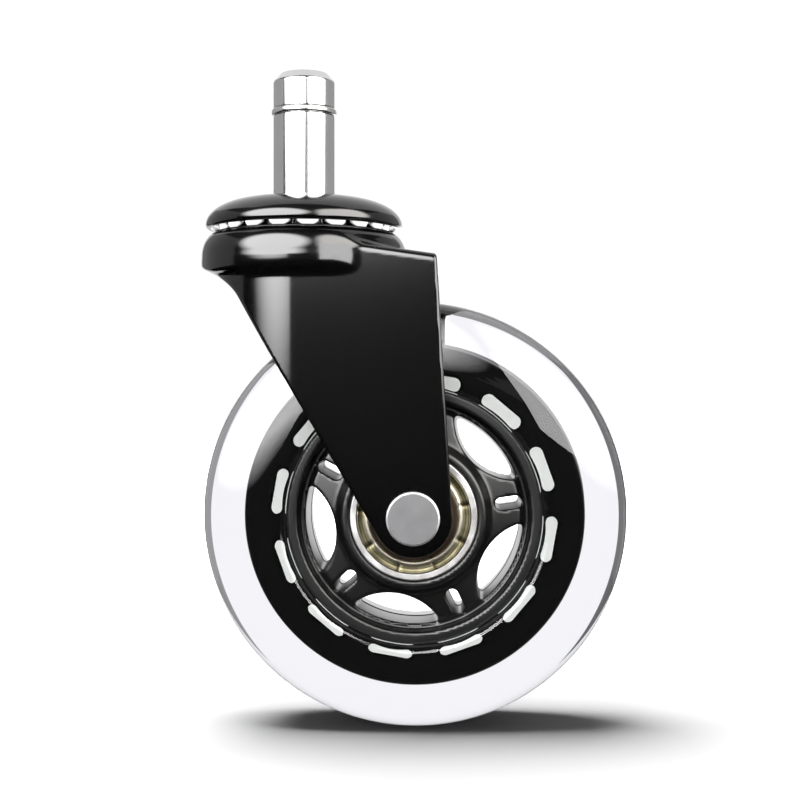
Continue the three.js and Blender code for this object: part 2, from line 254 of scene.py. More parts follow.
def ball_mesh(centre, radius, rings=16, sectors=28):
    """A round ball with poles up and down."""
    points, faces = [(0, 0, 1)], []
    for i in range(1, rings):
        polar = math.pi * i / rings
        for j in range(sectors):
            a = TAU * j / sectors
            points.append((math.sin(polar) * math.cos(a), math.sin(polar) * math.sin(a), math.cos(polar)))
    points.append((0, 0, -1))
    last = len(points) - 1
    for j in range(sectors):
        k = (j + 1) % sectors
        faces.append((0, 1 + j, 1 + k))
        faces.append((last, last - sectors + k, last - sectors + j))
        for i in range(rings - 2):
            p, q = 1 + i * sectors, 1 + (i + 1) * sectors
            faces.append((p + j, q + j, q + k, p + k))
    unit = np.array(points)
    return unit * radius + np.array(centre), faces, unit


# ---------------------------------------------------------------- carved shapes: signed distance to mesh


def outline_distance(points, outline):
    """Signed distance from points in a plane to a closed outline, negative inside."""
    nearest = np.full(len(points), np.inf)
    sign = np.ones(len(points))
    corners = np.array(outline, float)
    for i in range(len(corners)):
        here, last = corners[i], corners[i - 1]
        edge = last - here
        if edge @ edge < 1e-12:
            continue
        off = points - here
        along = np.clip((off @ edge) / (edge @ edge), 0, 1)
        gap = off - along[:, None] * edge
        nearest = np.minimum(nearest, np.einsum("ij,ij->i", gap, gap))
        above = points[:, 1] >= here[1]
        below = points[:, 1] < last[1]
        left = edge[0] * off[:, 1] > edge[1] * off[:, 0]
        sign[(above & below & left) | (~above & ~below & ~left)] *= -1
    return sign * np.sqrt(nearest)


class Outline:
    """A closed outline's signed distance, read smoothly from a fine table."""

    def __init__(self, corners, step=0.12, margin=6.0, blurs=3):
        corners = np.array(corners, float)
        self.step = step
        self.low = corners.min(0) - margin
        self.size = np.ceil((corners.max(0) + margin - self.low) / step).astype(int) + 1
        a = self.low[0] + np.arange(self.size[0]) * step
        b = self.low[1] + np.arange(self.size[1]) * step
        grid = np.stack(np.meshgrid(a, b, indexing="ij"), -1).reshape(-1, 2)
        table = outline_distance(grid, corners).reshape(self.size)
        for _ in range(blurs):
            for axis in (0, 1):
                inner = np.take(table, range(1, table.shape[axis] - 1), axis)
                spread = (np.roll(table, 1, axis) + 2 * table + np.roll(table, -1, axis)) / 4
                middle = np.take(spread, range(1, table.shape[axis] - 1), axis)
                ends = [np.take(table, [0], axis), middle, np.take(table, [-1], axis)]
                table = np.concatenate(ends, axis) if inner.size else table
        self.table = table

    def __call__(self, a, b):
        u = np.clip((a - self.low[0]) / self.step, 0, self.size[0] - 1.001)
        v = np.clip((b - self.low[1]) / self.step, 0, self.size[1] - 1.001)
        i, j = u.astype(int), v.astype(int)
        u, v = u - i, v - j
        t = self.table
        near = t[i, j] * (1 - u) + t[i + 1, j] * u
        far = t[i, j + 1] * (1 - u) + t[i + 1, j + 1] * u
        return near * (1 - v) + far * v


def soft_max(a, b, blend):
    """The larger of two distances, with the edge between them rounded over about that width."""
    overlap = np.maximum(blend - np.abs(a - b), 0) / blend
    return np.maximum(a, b) + overlap * overlap * blend / 4


def soft_min(a, b, blend):
    return -soft_max(-a, -b, blend)


def field_slope(field, points, reach=0.08):
    slope = np.empty_like(points)
    for axis in range(3):
        step = np.zeros(3)
        step[axis] = reach
        slope[:, axis] = (field(points + step) - field(points - step)) / (2 * reach)
    return slope


def surface_net(field, low, high, step=NET_STEP):
    """A quad mesh of the zero surface of a field, with its points moved exactly onto it."""
    low = np.array(low, float)
    axes = [np.arange(low[k], high[k] + step, step) for k in range(3)]
    shape = [len(a) for a in axes]
    flat = np.stack(np.meshgrid(axes[1], axes[2], indexing="ij"), -1).reshape(-1, 2)
    values = np.empty(shape)
    for i, x in enumerate(axes[0]):
        sheet = np.column_stack([np.full(len(flat), x), flat])
        values[i] = field(sheet).reshape(shape[1:])
    inside = values < 0
    cells = [n - 1 for n in shape]
    total = np.zeros(cells)
    summed = np.zeros(cells + [3])
    for axis in range(3):
        others = [k for k in range(3) if k != axis]
        for da in (0, 1):
            for db in (0, 1):
                start = [0, 0, 0]
                start[others[0]], start[others[1]] = da, db
                here = tuple(slice(start[k], start[k] + cells[k]) for k in range(3))
                start[axis] += 1
                there = tuple(slice(start[k], start[k] + cells[k]) for k in range(3))
                crossed = inside[here] != inside[there]
                drop = np.where(crossed, values[here] - values[there], 1)
                share = np.where(crossed, values[here] / drop, 0)
                total += crossed
                summed[..., axis] += np.where(crossed, share, 0)
                summed[..., others[0]] += crossed * da
                summed[..., others[1]] += crossed * db
    active = total > 0
    index = np.full(cells, -1)
    index[active] = np.arange(active.sum())
    where = np.argwhere(active)
    points = low + (where + summed[active] / total[active][:, None]) * step
    quads = []
    for axis in range(3):
        u, v = (axis + 1) % 3, (axis + 2) % 3
        ahead = np.roll(inside, -1, axis)
        crossed = inside != ahead
        crossed = np.take(crossed, range(cells[axis]), axis)
        spots = np.argwhere(crossed)
        off_edge = (spots[:, [u, v]] > 0).all(1) & (spots[:, u] < cells[u]) & (spots[:, v] < cells[v])
        spots = spots[off_edge]
        ring = []
        for du, dv in ((1, 1), (0, 1), (0, 0), (1, 0)):
            spot = spots.copy()
            spot[:, u] -= du
            spot[:, v] -= dv
            ring.append(index[tuple(spot.T)])
        ring = np.stack(ring, 1)
        outward = inside[tuple(spots.T)]
        ring[~outward] = ring[~outward][:, ::-1]
        quads.append(ring)
    for _ in range(4):
        slope = field_slope(field, points)
        steepness = np.maximum((slope**2).sum(1, keepdims=True), 0.05)
        move = field(points)[:, None] * slope / steepness
        length = np.linalg.norm(move, axis=1, keepdims=True)
        points = points - move * np.minimum(1, 0.5 * step / np.maximum(length, 1e-9))
    slope = field_slope(field, points)
    normals = slope / np.maximum(np.linalg.norm(slope, axis=1, keepdims=True), 1e-9)
    return points, np.concatenate(quads).tolist(), normals


# ---------------------------------------------------------------- materials


MIX_A, MIX_B, MIX_RESULT = 6, 7, 2  # a colour mix's own sockets, whose names other kinds of mix share


class Nodes:
    """A material's node tree, with short ways to add and link nodes."""

    def __init__(self, name):
        self.material = bpy.data.materials.new(name)
        self.material.use_nodes = True
        self.tree = self.material.node_tree
        self.shader = self.tree.nodes["Principled BSDF"]
        self.where = self.add("ShaderNodeTexCoord").outputs["Object"]

    def feed(self, socket, value):
        """Links another node's output to a socket, or sets a plain value on it."""
        if isinstance(value, bpy.types.NodeSocket):
            self.tree.links.new(value, socket)
        else:
            socket.default_value = value

    def add(self, kind, inputs=(), **settings):
        node = self.tree.nodes.new(kind)
        for key, value in settings.items():
            setattr(node, key, value)
        for key, value in dict(inputs).items():
            self.feed(node.inputs[key], value)
        return node

    def set(self, **sockets):
        for name, value in sockets.items():
            self.feed(self.shader.inputs[name.replace("_", " ")], value)

    def noise(self, scale, detail=3.0, roughness=0.5, at=None, stretch=None):
        where = at or self.where
        if stretch:
            where = self.add("ShaderNodeMapping", {"Vector": where, "Scale": stretch}).outputs["Vector"]
        inputs = {"Vector": where, "Scale": scale, "Detail": detail, "Roughness": roughness}
        return self.add("ShaderNodeTexNoise", inputs).outputs["Fac"]

    def ramp(self, value, low, high, from_low=0.0, from_high=1.0):
        """value, moved from one range of numbers to another and held at its ends."""
        inputs = {"Value": value, "From Min": from_low, "From Max": from_high, "To Min": low, "To Max": high}
        return self.add("ShaderNodeMapRange", inputs).outputs["Result"]

    def blend(self, amount, first, second):
        node = self.add("ShaderNodeMix", data_type="RGBA")
        self.feed(node.inputs["Factor"], amount)
        self.feed(node.inputs[MIX_A], first)
        self.feed(node.inputs[MIX_B], second)
        return node.outputs[MIX_RESULT]

    def math(self, operation, first, second=0.0):
        node = self.add("ShaderNodeMath", operation=operation)
        self.feed(node.inputs[0], first)
        self.feed(node.inputs[1], second)
        return node.outputs[0]

    def bump(self, height, strength, distance, under=None):
        inputs = {"Height": height, "Strength": strength, "Distance": distance * MM}
        if under:
            inputs["Normal"] = under
        return self.add("ShaderNodeBump", inputs).outputs["Normal"]

    def offset_from(self, centre):
        """The place being shaded, in metres from a centre given in millimetres."""
        inputs = {0: self.where, 1: [c * MM for c in centre]}
        return self.add("ShaderNodeVectorMath", inputs, operation="SUBTRACT").outputs[0]

    def position(self, axis, centre=(0, 0, 0)):
        """One of X, Y and Z of the place being shaded, measured from centre (millimetres)."""
        return self.add("ShaderNodeSeparateXYZ", {"Vector": self.offset_from(centre)}).outputs[axis]

    def bearings(self, centre):
        """Azimuth from -Y towards +X and elevation of the shaded place seen from centre, in radians."""
        x, y, z = (self.position(axis, centre) for axis in "XYZ")
        level = self.math("SQRT", self.math("ADD", self.math("MULTIPLY", x, x), self.math("MULTIPLY", y, y)))
        azimuth = self.math("ARCTAN2", x, self.math("MULTIPLY", y, -1.0))
        return azimuth, self.math("ARCTAN2", z, level)

    def radius_about(self, centre, flat):
        """Distance from an axis through centre (millimetres), with flat zeroing the axis it runs along."""
        inputs = {0: self.offset_from(centre), 1: flat}
        across = self.add("ShaderNodeVectorMath", inputs, operation="MULTIPLY").outputs[0]
        return self.add("ShaderNodeVectorMath", {0: across}, operation="LENGTH").outputs["Value"]

    def axle_radius(self):
        return self.radius_about((AXLE_X, 0, AXLE_Z), (1, 0, 1))


def grey(value, tint=(1, 1, 1)):
    return (value * tint[0], value * tint[1], value * tint[2], 1)


def turned_steel(name, tone, roughness, tint=(1, 1, 1), lathe_marks=0.15, axis="Z"):
    """Bright steel with fine turning marks along its length."""
    n = Nodes(name)
    stretch = (60, 60, 9000) if axis == "Z" else (60, 9000, 60)
    marks = n.noise(1.0, detail=4, stretch=stretch)
    haze = n.noise(180, detail=5)
    colour = n.blend(haze, grey(tone * 0.94, tint), grey(tone, tint))
    rough = n.math("ADD", n.ramp(haze, roughness * 0.75, roughness * 1.3), n.ramp(marks, -0.015, 0.015))
    n.set(Base_Color=colour, Metallic=1.0, Roughness=rough, Normal=n.bump(marks, lathe_marks, 0.01))
    return n.material


def enamel(name):
    """Gloss black paint on pressed steel, with a faint orange peel."""
    n = Nodes(name)
    peel = n.noise(450, detail=2)
    waves = n.noise(70, detail=1)
    haze = n.noise(120, detail=6)
    colour = n.blend(haze, grey(0.0012), grey(0.0024, (1, 1, 1.05)))
    normal = n.bump(waves, 0.12, 0.05, n.bump(peel, 0.10, 0.02))
    n.set(Base_Color=colour, Roughness=0.5, Specular_IOR_Level=0.0, Normal=normal)
    n.set(Coat_Weight=1.0, Coat_IOR=1.6, Coat_Roughness=0.12, Coat_Normal=normal)
    return n.material


def black_oxide(name):
    n = Nodes(name)
    grain = n.noise(900, detail=4)
    haze = n.noise(160, detail=5)
    colour = n.blend(haze, grey(0.004), grey(0.009, (1, 1, 1.06)))
    n.set(Base_Color=colour, Metallic=0.6)
    n.set(Roughness=n.ramp(haze, 0.26, 0.42), Normal=n.bump(grain, 0.2, 0.01))
    return n.material


def satin_steel(name):
    """Zinc-plated steel with an even, finely pitted satin surface."""
    n = Nodes(name)
    pits = n.noise(2600, detail=3)
    clouds = n.noise(420, detail=5)
    face = n.blend(clouds, grey(0.135, (1, 1, 1.02)), grey(0.165, (1, 1, 1.03)))
    radius = n.axle_radius()
    bevel = n.ramp(radius, 0.0, 1.0, 0.00425, 0.00433)
    normal = n.bump(pits, 0.35, 0.012)
    n.set(Base_Color=n.blend(bevel, face, grey(0.95)), Metallic=1.0, Normal=normal)
    n.set(Roughness=n.ramp(clouds, 0.42, 0.55))
    return n.material


def ground_steel(name):
    """Bearing steel with ground faces: fine rings about the axle."""
    n = Nodes(name)
    radius = n.axle_radius()
    rings = n.add("ShaderNodeTexNoise", {"W": radius, "Scale": 9000.0, "Detail": 3.0}, noise_dimensions="1D")
    haze = n.noise(300, detail=5)
    dark, light = grey(0.26, (1, 0.97, 0.96)), grey(0.50, (1, 0.99, 0.98))
    colour = n.blend(n.ramp(haze, 0, 1, 0.35, 0.65), dark, light)
    n.set(Base_Color=colour, Metallic=1.0, Roughness=n.ramp(haze, 0.44, 0.56))
    n.set(Normal=n.bump(rings.outputs["Fac"], 0.12, 0.01))
    return n.material


def passivated(name):
    """Pressed sheet with a pale yellow passivated finish that pools and fades. A painted highlight runs
    along its bead, and painted shade darkens its dished middle.
    """
    n = Nodes(name)
    pools = n.noise(230, detail=5)
    grain = n.noise(1800, detail=3)
    band = n.blend(n.ramp(pools, 0, 1, 0.35, 0.65), (0.085, 0.075, 0.042, 1), (0.22, 0.20, 0.125, 1))
    radius = n.axle_radius()
    off_ridge = n.math("ABSOLUTE", n.math("SUBTRACT", radius, BEAD_R * MM))
    # painted highlight: a pale line along the raised bead
    bead_highlight = n.math("SUBTRACT", 1.0, n.ramp(off_ridge, 0, 1, 0.1 * MM, 0.5 * MM))
    circles = n.ramp(n.math("SINE", n.math("MULTIPLY", radius, TAU / (0.52 * MM))), 0.0, 0.7, -0.2, 0.8)
    across, up = n.position("X", (AXLE_X, 0, AXLE_Z)), n.position("Z", (AXLE_X, 0, AXLE_Z))
    turn = n.math("SUBTRACT", n.math("ARCTAN2", up, across), math.radians(CRIMP_PHASE))
    crimp = n.ramp(n.math("COSINE", n.math("MULTIPLY", turn, 360 / CRIMP_STEP)), 0.0, 0.9, 0.955, 0.985)
    lined = n.blend(n.math("MAXIMUM", circles, crimp), band, (0.020, 0.017, 0.010, 1))
    with_bead_highlight = n.blend(bead_highlight, lined, (0.46, 0.43, 0.35, 1))
    # painted shade: the dished middle darkened as if in shadow
    dish_shade = n.ramp(radius, 1.0, 0.0, 7.4 * MM, 7.8 * MM)
    tint = n.blend(dish_shade, with_bead_highlight, (0.060, 0.042, 0.030, 1))
    n.set(Base_Color=tint, Metallic=1.0)
    n.set(Roughness=n.ramp(grain, 0.34, 0.55), Normal=n.bump(grain, 0.6, 0.03))
    return n.material


def moulded_nylon(name):
    """Black moulded nylon: semi-gloss with a fine spark-eroded grain."""
    n = Nodes(name)
    grain = n.noise(2200, detail=3)
    flow = n.noise(90, detail=4)
    colour = n.blend(flow, grey(0.0022), grey(0.0042, (1.04, 1, 1)))
    normal = n.bump(grain, 0.18, 0.012)
    radius = n.axle_radius()
    height = n.radius_about((0, 0, 0), (0, 1, 0))
    open_air = n.ramp(radius, 0.5, 0.06, 22.2 * MM, 22.5 * MM)  # past this the hub lies in the tyre
    off_line = n.ramp(height, 0.0, 1.0, 0.6 * MM, 1.0 * MM)  # the dull line where the mould parted
    n.set(Base_Color=colour, Roughness=n.ramp(flow, 0.26, 0.36), Normal=normal)
    n.set(Specular_IOR_Level=n.math("MULTIPLY", open_air, off_line))
    return n.material


def urethane_painted_glow(name):
    """The cloudy urethane in the hub's anchor slots, with a painted glow standing in for the daylight that
    comes through from the far side.
    """
    n = Nodes(name)
    cloud = n.noise(400, detail=4)
    colour = n.blend(cloud, (0.90, 0.94, 0.88, 1), (0.96, 0.99, 0.94, 1))
    n.set(Base_Color=colour, Roughness=0.6, Specular_IOR_Level=0.0)
    # painted light: an even emission in place of the light that would reach the fill through the tyre
    n.set(Emission_Color=colour, Emission_Strength=0.22)
    return n.material


def ball_painted_glow(name):
    """Polished ball steel, with a painted glow on each upper ball standing in for the light caught between
    the races, which a few bounces would lose.
    """
    n = Nodes(name)
    film = n.noise(600, detail=3)
    n.set(Base_Color=n.blend(film, grey(0.84), grey(0.92)), Metallic=1.0)
    n.set(Roughness=n.ramp(film, 0.06, 0.12))
    azimuth, _ = n.bearings((0, 0, 0))
    turn = n.math("SUBTRACT", azimuth, math.radians(UPPER_PHASE + 90))
    repeat = n.math("MULTIPLY", turn, UPPER_COUNT)
    across = n.math("MULTIPLY", n.math("SUBTRACT", 1.0, n.math("COSINE", repeat)), 0.5 / 0.88)
    height = n.math("SUBTRACT", n.position("Z"), GLOW_Z * MM)
    up = n.math("POWER", n.math("ABSOLUTE", n.math("MULTIPLY", height, 1 / (GLOW_HALF * MM))), 2.0)
    # painted light: an emission patch that makes the visible part of each upper ball glow
    glow_patch = n.ramp(n.math("ADD", across, up), 1.0, 0.0, 0.85, 1.05)
    n.set(Emission_Color=n.blend(film, grey(0.95), grey(1.0)), Emission_Strength=glow_patch)
    return n.material


def urethane(name):
    """Clear cast polyurethane with a trace of waviness from its mould."""
    n = Nodes(name)
    waves = n.noise(55, detail=2)
    n.set(Base_Color=(0.938, 0.930, 0.969, 1), Roughness=0.02, Transmission_Weight=1.0, IOR=1.48)
    n.set(Normal=n.bump(waves, 0.05, 0.05))
    return n.material


materials = {
    "plated_steel": turned_steel("plated_steel", 0.76, 0.13),
    "spring_steel": turned_steel("spring_steel", 0.72, 0.20),
    "black_paint": enamel("black_paint"),
    "race_steel": black_oxide("race_steel"),
    "ball_steel": turned_steel("ball_steel", 0.86, 0.06, lathe_marks=0.02),
    "satin_steel": satin_steel("satin_steel"),
    "bearing_steel": ground_steel("bearing_steel"),
    "shield_steel": passivated("shield_steel"),
    "black_nylon": moulded_nylon("black_nylon"),
    "clear_urethane": urethane("clear_urethane"),
    "urethane_painted_glow": urethane_painted_glow("urethane_painted_glow"),
    "ball_painted_glow": ball_painted_glow("ball_painted_glow"),
}


def fit(piece, slot, body, *nodes, finish=None):
    """Gives a piece its finish and its body, and lets it stand for CAD nodes."""
    piece.data.materials.clear()
    piece.data.materials.append(materials[finish or slot])
    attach(piece, body)
    if nodes:
        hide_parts(*nodes)
    return piece


# ---------------------------------------------------------------- stem and grip ring


def make_stem():
    top, bottom = stem_high[2], stem_low[2]
    neck_end = cup_low[2]
    head = stem_high[0]
    groove_top, groove_bottom = grip_high[2] + 0.1, grip_low[2] - 0.1
    groove = STEM_R - 0.75
    outline = rounded([
        (0, top),
        (STEM_R - 1.35, top, 0.35),
        (STEM_R, top - 1.55, 0.9),
        (STEM_R, groove_top, 0.12),
        (groove, groove_top, 0.1),
        (groove, groove_bottom, 0.1),
        (STEM_R, groove_bottom, 0.12),
        (STEM_R, -CAP_SEAT_DEPTH, 0.1),
        (NECK_R, -CAP_SEAT_DEPTH, 0.1),
        (NECK_R, neck_end, 0.1),
        (head, neck_end, 0.3),
        (head, neck_end - 0.8, 0.6),
        (head * 0.72, bottom + 0.05, 0.8),
        (2.2, bottom, 0.4),
        (1.2, bottom + 0.6, 0.5),
        (0, bottom + 0.7),
    ])
    fit(turned_piece("stem_turned", outline, steps=SMALL_TURN_STEPS), "plated_steel", "stem", "stem")


def make_grip_ring():
    """A round-edged split ring whose gap faces away from the photographed side."""
    outer, inner = grip_high[0], grip_high[0] - 0.95
    outline = rounded([
        (inner, grip_low[2], 0.2),
        (outer, grip_low[2], 0.42),
        (outer, grip_high[2], 0.42),
        (inner, grip_high[2], 0.2),
    ])
    half_gap = math.asin(1.1 / outer)
    start = math.pi / 2 + half_gap
    piece = turned_piece("grip_ring_split", outline, steps=120, start=start, sweep=TAU - 2 * half_gap)
    fit(piece, "spring_steel", "stem", "grip_ring")


# ---------------------------------------------------------------- swivel: cap, races and balls


def make_cap():
    """The pressed cap: a flat seat, an elliptical dome, a rolled rim and the balls' groove inside."""
    edge, rim = cap_high[0], cap_low[2]
    flat, bore, drop = 8.5, 4.6, 4.75
    groove = UPPER_BALL + BALL_GAP
    outline = [(bore, -CAP_SEAT_DEPTH), (CAP_SEAT_R, -CAP_SEAT_DEPTH), (CAP_SEAT_R, 0)]
    outline += arc(flat, -drop, edge - flat, drop, 90, 0, 22)
    outline += arc(edge - 0.62, -drop, 0.62, 0.65, 0, -90, 6)[1:]
    outline += arc(edge - 0.9, rim + 0.55, 0.45, 0.55, -90, -180, 4)[1:]
    outline += arc(UPPER_PITCH, UPPER_Z, groove, groove, -5, 150, 14)
    outline += [(UPPER_PITCH - 3.0, -2.0), (bore, -2.0)]
    fit(turned_piece("cap_pressed", outline), "black_paint", "stem", "top_cap")


def make_crown_race():
    inner, outer, top, bottom = 10.4, race_high[0], race_high[2], race_low[2]
    groove = UPPER_BALL + BALL_GAP
    outline = rounded([(outer, top, 0.25), (outer, bottom, 0.15), (inner, bottom, 0.1), (inner, top, 0.2)])
    outline += arc(UPPER_PITCH, UPPER_Z, groove, groove, -141, -39, 10)
    fit(turned_piece("crown_race_ring", outline), "race_steel", "fork", "crown_race")


def make_lower_cup():
    inner, outer, top, bottom = 4.6, cup_high[0], cup_high[2], cup_low[2]
    groove = LOWER_BALL + BALL_GAP
    outline = rounded([(outer, top, 0.2), (outer, bottom, 0.7), (inner, bottom, 0.2), (inner, top, 0.2)])
    outline += arc(LOWER_PITCH, LOWER_Z, groove, groove, -143, -37, 10)
    fit(turned_piece("lower_cup_pressed", outline), "race_steel", "stem", "lower_race_cup")


def make_balls(name, count, pitch, radius, height, phase, finish=None):
    parts = []
    for i in range(count):
        a = math.radians(phase + 360 * i / count)
        parts.append(ball_mesh((pitch * math.cos(a), pitch * math.sin(a), height), radius))
    points, faces, normals = joined(parts)
    nodes = [f"{name}_{i + 1:02d}" for i in range(count)]
    fit(new_piece(f"{name}_set", points, faces, normals), "ball_steel", f"{name}s", *nodes, finish=finish)


# ---------------------------------------------------------------- fork


def fork_field():
    """The pressed fork: crown, closed round front, two legs, cut edges and holes."""
    slope = math.radians(59.2)
    foot = (AXLE_X - BOSS_R * math.sin(slope), AXLE_Z - BOSS_R * math.cos(slope))
    bend_z = -18.1
    bend = (foot[0] - (bend_z - foot[1]) / math.tan(slope), bend_z)
    control, tip = (-12.4, -15.0), (-CROWN_R, -12.4)
    curl = bezier(bend, control, tip, 16)
    boss = arc(AXLE_X, AXLE_Z, BOSS_R, BOSS_R, 4, -90 - math.degrees(slope), 48)
    back_top = (23.57, -4)
    edges = Outline([(-CROWN_R - 5.5, -4), back_top, *boss, *curl, (-CROWN_R - 5.5, -9.1)])
    wall = CROWN_R - 0.05
    shoulder = bezier((CROWN_RECESS, CROWN_TOP), (wall, CROWN_TOP - 1.4), (wall, -10.6), 14)
    skirt = [(CROWN_R, -11.4), (CROWN_R - 0.04, -12.4)]
    skirt += bezier((18.3, -13.1), (18.1, -13.6), (17.2, -13.75), 6)
    hidden = LEG_OUT - 1.3
    middle = [(hidden, -13.9), (hidden, -17), (-30, -17), (-30, CROWN_SEAT), (CROWN_RECESS, CROWN_SEAT)]
    crown = Outline(shoulder + skirt + middle)
    leg_top, leg_fall = -8.8, 0.144  # the legs' top edge, and its fall for each millimetre back
    room_drop, room_fall = 3.0, 0.118  # the same for the ceiling over the wheel, below the race's seat

    def field(p):
        """Distance to the fork; the last number of each step is its fillet."""
        x, y, z = p.T
        r = np.hypot(x, y)
        across = np.where(x < 0, r, np.abs(y))
        top_line = leg_top - leg_fall * np.maximum(x - 8, 0)
        ceiling = CROWN_SEAT - room_drop - room_fall * np.maximum(x - 7, 0)
        legs = soft_max(across - LEG_OUT, z - top_line, 1.5)
        shape = soft_min(legs, crown(r, z), 1.3)
        room = soft_max(across - LEG_OUT + LEG_WALL, z - ceiling, 2.4)
        shape = soft_max(shape, -room, 0.4)
        shape = soft_max(shape, edges(x, z), 0.55)
        shape = soft_max(shape, NECK_HOLE - r, 0.4)
        shape = soft_max(shape, AXLE_SHANK + 0.1 - np.hypot(x - AXLE_X, z - AXLE_Z), 0.3)
        return soft_max(shape, LOWER_BALL + BALL_GAP - np.hypot(r - LOWER_PITCH, z - LOWER_Z), 0.2)

    return field


def make_fork():
    points, faces, normals = surface_net(fork_field(), fork_low - 1, fork_high + 1)
    fit(new_piece("fork_pressed", points, faces, normals), "black_paint", "fork", "fork")


# ---------------------------------------------------------------- axle, spacers and bearings


def on_axle(name, outline):
    return turned_piece(name, outline, "Y", SMALL_TURN_STEPS)


def make_axle():
    """The rivet: a flat head with a bright chamfer on one side, a formed head on the other."""
    head, end, face = AXLE_HEAD - 0.15, AXLE_END, LEG_OUT
    outline = rounded([
        (0, -end),
        (head - 0.28, -end, 0.08),
        (head, -end + 0.35, 0.15),
        (head, -face, 0.1),
        (AXLE_SHANK, -face, 0.05),
        (AXLE_SHANK, face, 0.05),
        (head, face, 0.1),
        (head, end - 0.6, 0.3),
        (head - 0.7, end - 0.1, 0.3),
        (2.6, end, 0.3),
        (1.9, end - 0.45, 0.3),
        (0, end - 0.5),
    ])
    fit(on_axle("axle_rivet_formed", outline), "satin_steel", "fork", "axle_rivet")


def ring_outline(inner, outer, low, high, edge):
    return rounded([(inner, low, edge), (outer, low, edge), (outer, high, edge), (inner, high, edge)])


def make_spacer(side, word):
    near, far = sorted((side * BEARING_OUT, side * (LEG_OUT - LEG_WALL)))
    piece = on_axle(f"spacer_{word}_washer", ring_outline(BORE_R, 6.0, near, far, 0.15))
    fit(piece, "satin_steel", "fork", f"axle_spacer_{word}")


def make_sleeve():
    outline = ring_outline(BORE_R, 5.6, -BEARING_IN, BEARING_IN, 0.2)
    fit(on_axle("sleeve_turned", outline), "satin_steel", "fork", "bearing_sleeve")


def shifted(outline, side):
    """A bearing outline drawn about its own middle, moved to one side of the wheel."""
    return [(r, side * (BEARING_MID + h)) for r, h in outline]


def make_rings(side, word):
    half = (BEARING_OUT - BEARING_IN) / 2
    outer = rounded([
        (RING_OUTSIDE, half, 0.1),
        (BEARING_R, half, 0.3),
        (BEARING_R, -half, 0.3),
        (RING_OUTSIDE, -half, 0.1),
        (RING_OUTSIDE, -SHIELD_SEAT),
        (SHIELD_SEAT_R, -SHIELD_SEAT),
    ])
    outer += arc(CAGE_PITCH, 0, CAGE_GROOVE, CAGE_GROOVE, -35, 35, 10)
    outer += [(SHIELD_SEAT_R, SHIELD_SEAT), (RING_OUTSIDE, SHIELD_SEAT)]
    piece = on_axle(f"outer_ring_{word}_ground", shifted(outer, side))
    fit(piece, "bearing_steel", "wheel", f"bearing_outer_ring_{word}")
    inner = rounded([
        (RING_INSIDE, -half, 0.15),
        (BORE_R, -half, 0.25),
        (BORE_R, half, 0.25),
        (RING_INSIDE, half, 0.15),
    ])
    inner += arc(CAGE_PITCH, 0, CAGE_GROOVE, CAGE_GROOVE, 136, 224, 10)
    piece = on_axle(f"inner_ring_{word}_ground", shifted(inner, side))
    fit(piece, "bearing_steel", "fork", f"bearing_inner_ring_{word}")


def make_shield(side, word, face):
    """A pressed shield: a crimped flange, a raised bead and a dished middle."""
    outward = side if face == "outside" else -side
    sheet, set_out = 0.16, 2.95  # its thickness, and how far it sits from the bearing's middle
    dent_depth, dent_width = 0.22, 2.2  # of each crimp, in millimetres and in degrees
    profile = [(6.35, 0.0), (6.5, -0.12), (7.5, -0.12), (7.75, 0.2), (8.0, 0.42), (8.25, 0.3), (8.5, 0.18)]
    profile += [(9.3, 0.2), (9.55, 0.36), (9.75, 0.38), (9.85, 0.3)]
    back = [(r, h - sheet) for r, h in reversed(profile)]
    outline = profile + back
    steps = 192
    points, faces, normals = turned_mesh(outline, "Y", steps)
    rows = points.reshape(steps, len(outline), 3)
    for i in range(steps):
        a = 360 * i / steps
        near = abs((a - CRIMP_PHASE + CRIMP_STEP / 2) % CRIMP_STEP - CRIMP_STEP / 2)
        dent = dent_depth * math.exp(-((near / dent_width) ** 2))
        for j, (r, _) in enumerate(outline):
            if r > BEAD_R:
                rows[i, j, 1] -= dent
    rows[..., 1] = side * BEARING_MID + outward * (set_out + rows[..., 1])
    piece = new_piece(f"shield_{word}_{face}_pressed", rows.reshape(-1, 3), faces)
    fit(piece, "shield_steel", "wheel", f"bearing_shield_{word}_{face}")


def make_bearing_balls(side, word):
    """Seven balls in a ribbon cage of two wavy halves."""
    parts = []
    for i in range(CAGE_BALLS):
        a = TAU * i / CAGE_BALLS
        centre = (AXLE_X + CAGE_PITCH * math.cos(a), side * BEARING_MID, AXLE_Z + CAGE_PITCH * math.sin(a))
        parts.append(ball_mesh(centre, CAGE_BALL, 12, 20))
    for half in (-1, 1):
        outline = ring_outline(6.9, 8.1, -0.15, 0.15, 0.05)
        steps = 168
        points, faces, normals = turned_mesh(outline, "Y", steps)
        rows = points.reshape(steps, len(outline), 3)
        for i in range(steps):
            wave = math.cos(TAU * i * CAGE_BALLS / steps)
            rise = 0.2 + 1.9 * max(0.0, wave) ** 0.6 if wave > 0 else 0.2
            rows[i, :, 1] += side * BEARING_MID + half * rise
        parts.append((rows.reshape(-1, 3), faces, normals))
    points, faces, _ = joined(parts)
    piece = new_piece(f"caged_balls_{word}", points, faces)
    fit(piece, "ball_steel", f"{word}_bearing_balls", f"bearing_balls_{word}")


# ---------------------------------------------------------------- wheel


